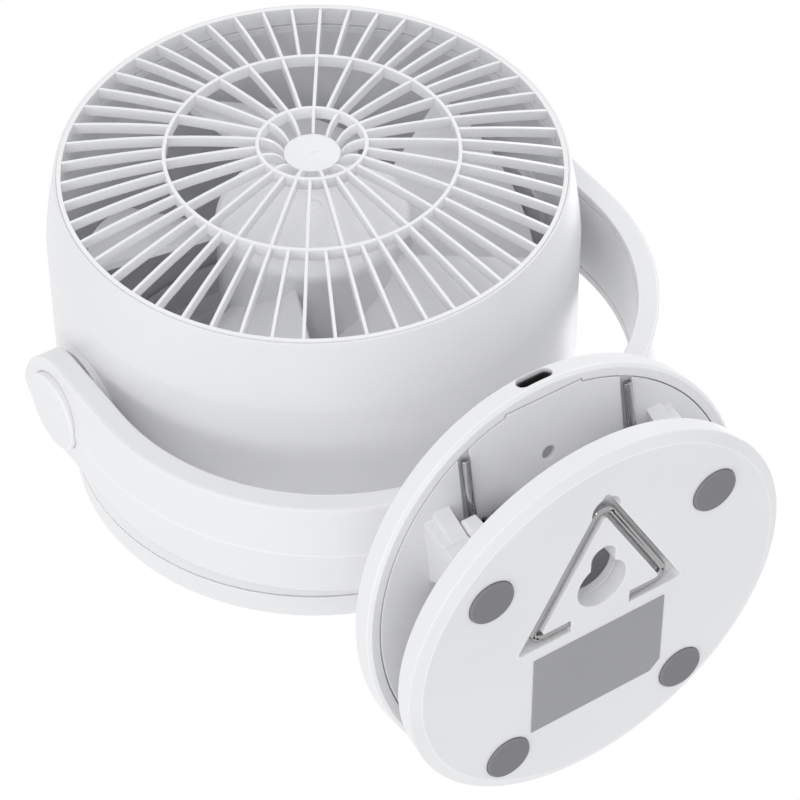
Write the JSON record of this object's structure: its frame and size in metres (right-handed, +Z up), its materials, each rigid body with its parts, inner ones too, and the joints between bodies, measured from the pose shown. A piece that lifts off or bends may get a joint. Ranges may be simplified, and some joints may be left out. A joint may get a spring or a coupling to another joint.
{
  "type": "clip-on fan",
  "caption": "Round clip-on fan: a drum with a domed grille tilts in a U yoke on two spring-hinged discs that stand or clamp, with a fold-out wire hook underneath.",
  "frame": {"origin": "on the table plane under the rubber feet, below the middle of the whole fan's box", "axes": "+Z up when it stands on its feet, -Y the way that the air blows and the side of the charging socket, +X to the right of someone who faces the grille"},
  "size_m": [0.1542, 0.1114, 0.1902],
  "materials": {
    "white_plastic": "satin",
    "impeller_plastic": "satin",
    "foot_rubber": "matte",
    "pad_rubber": "matte",
    "label_film": "matte",
    "bright_wire": "polished",
    "plated_steel": "satin",
    "iron_core": "matte",
    "bearing_brass": "satin",
    "washer_plastic": "matte",
    "board_laminate": "satin",
    "switch_plastic": "matte",
    "cell_wrap": "satin"
  },
  "bodies": {
    "base": {"base_shell": "white_plastic", "base_cover": "white_plastic", "base_screws": "plated_steel", "rubber_feet": "foot_rubber", "label_plate": "label_film", "lower_jaw_pad": "pad_rubber"},
    "hook": {"hook_wire": "bright_wire"},
    "clip": {"upper_shell": "white_plastic", "clip_panel": "white_plastic", "panel_screws": "plated_steel", "upper_jaw_pad": "pad_rubber", "usb_socket": "plated_steel", "circuit_board": "board_laminate", "button_switch": "switch_plastic", "battery_pack": "cell_wrap", "yoke_arm": "white_plastic", "yoke_cover": "white_plastic", "neck_screws": "plated_steel", "hinge_pin_left": "plated_steel", "hinge_pin_right": "plated_steel", "torsion_spring_left": "bright_wire", "torsion_spring_right": "bright_wire", "pivot_bolt_left": "plated_steel", "pivot_bolt_right": "plated_steel", "pivot_nut_left": "plated_steel", "pivot_nut_right": "plated_steel", "pivot_washer_left": "washer_plastic", "pivot_washer_right": "washer_plastic", "pivot_cap_left": "white_plastic", "pivot_cap_right": "white_plastic"},
    "button": {"speed_button": "white_plastic"},
    "head": {"drum_housing": "white_plastic", "front_grille": "white_plastic", "rear_cover": "white_plastic", "cover_screws": "plated_steel", "motor_stand": "white_plastic", "stand_screws": "plated_steel", "motor_screws": "plated_steel", "motor_can": "plated_steel", "motor_magnets": "iron_core", "motor_bearings": "bearing_brass"},
    "rotor": {"impeller": "impeller_plastic", "motor_shaft": "plated_steel", "rotor_core": "iron_core"}
  },
  "joints": [
    {"name": "clip_squeeze", "type": "hinge", "parent": "base", "child": "clip", "pos_m": [0, -0.02299, 0.0146], "axis": [1, 0, 0], "range_deg": [0, 28], "stiffness_Nm_per_rad": 3.1, "springref_deg": -14.32, "deforming": ["torsion_spring_left", "torsion_spring_right"]},
    {"name": "head_tilt", "type": "hinge", "parent": "clip", "child": "head", "pos_m": [0, -0.00569, 0.1237], "axis": [1, 0, 0], "range_deg": [-55, 55]},
    {"name": "impeller_spin", "type": "hinge", "parent": "head", "child": "rotor", "pos_m": [0, -0.01749, 0.1237], "axis": [0, -1, 0], "continuous": true},
    {"name": "hook_swing", "type": "hinge", "parent": "base", "child": "hook", "pos_m": [0, 0.00091, 0.0022], "axis": [1, 0, 0], "range_deg": [0, 90]},
    {"name": "button_press", "type": "slide", "parent": "clip", "child": "button", "axis": [0, -0.1736, -0.9848], "range_m": [0, 0.0008], "stiffness_N_per_m": 800, "springref_m": -0.0004}
  ]
}
